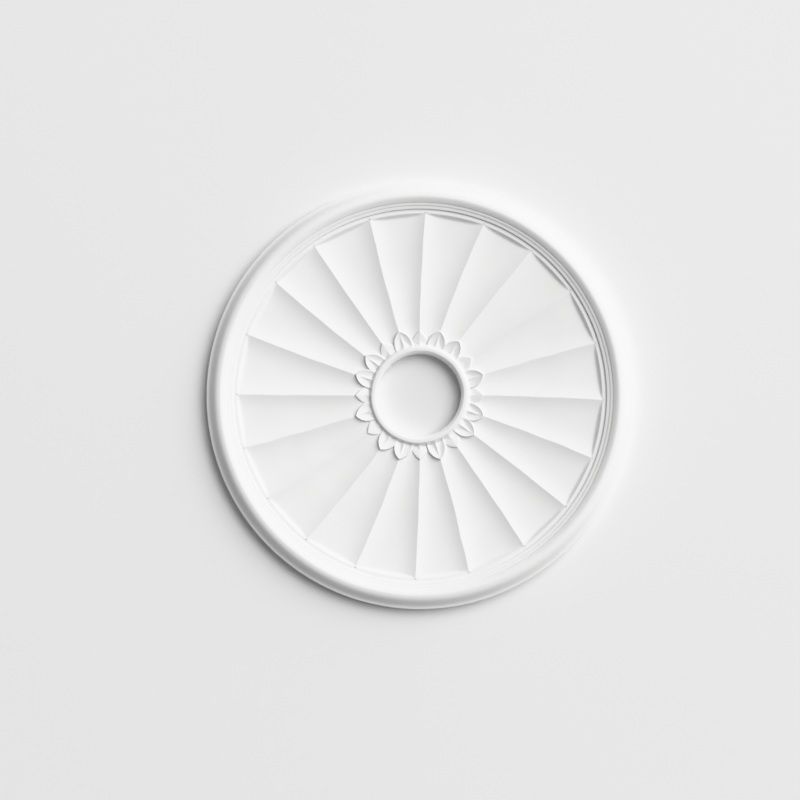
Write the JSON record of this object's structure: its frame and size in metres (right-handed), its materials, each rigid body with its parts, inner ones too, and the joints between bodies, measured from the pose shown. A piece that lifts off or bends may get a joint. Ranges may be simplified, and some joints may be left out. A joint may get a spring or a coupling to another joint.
{
  "type": "ceiling rose",
  "caption": "Round plaster ceiling rose: a roll and reed rim around a fan of scooped flutes, with a collar of leaves at an open centre hole.",
  "frame": {"origin": "centre of the flat back face, on the axis of the centre hole, where the rose is fixed to the ceiling", "axes": "+Y out of the back, into the ceiling; the ornamented face looks along -Y; +Z is the top of the rose as the picture shows it, with a ridge of the fan next to it; +X is to its right"},
  "size_m": [0.5999, 0.0309, 0.5998],
  "materials": {
    "white_plaster": "matt white plaster, lightly painted"
  },
  "bodies": {
    "root": {"ceiling_rose": "white_plaster"}
  },
  "joints": []
}
